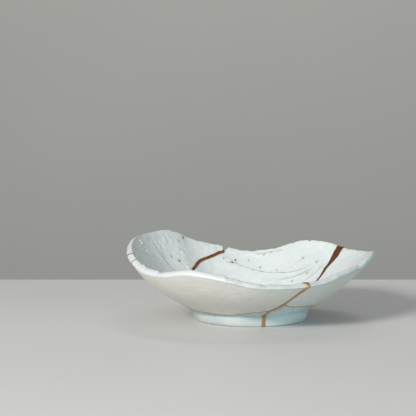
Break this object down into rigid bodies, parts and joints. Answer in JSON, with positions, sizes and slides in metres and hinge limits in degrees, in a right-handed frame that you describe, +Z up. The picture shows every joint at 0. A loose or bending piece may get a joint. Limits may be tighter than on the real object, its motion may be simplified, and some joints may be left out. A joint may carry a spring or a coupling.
{
  "type": "kintsugi dish",
  "caption": "Shallow wavy-rimmed porcelain dish on a low turned foot ring, broken into shards and joined again with raised gold seams.",
  "frame": {"origin": "centre of the foot ring on the surface that the dish stands on", "axes": "+Z up, +X towards the side with the gold wedge, +Y towards the notch in the back rim"},
  "size_m": [0.2093, 0.205, 0.0695],
  "materials": {
    "porcelain": "pale celadon-white glaze with iron specks, glossy where it pools",
    "gold_lacquer": "lacquer dusted with gold, worn to a warm brown at the edges"
  },
  "bodies": {
    "root": {"left_wall_shard": "porcelain", "right_front_wall_shard": "porcelain", "right_back_wall_shard": "porcelain", "base_left_shard": "porcelain", "base_right_shard": "porcelain", "rim_chip": "porcelain", "gold_seam_front": "gold_lacquer", "gold_seam_base": "gold_lacquer", "gold_seam_back": "gold_lacquer", "gold_wedge_right": "gold_lacquer", "gold_seam_chip": "gold_lacquer"}
  },
  "joints": []
}
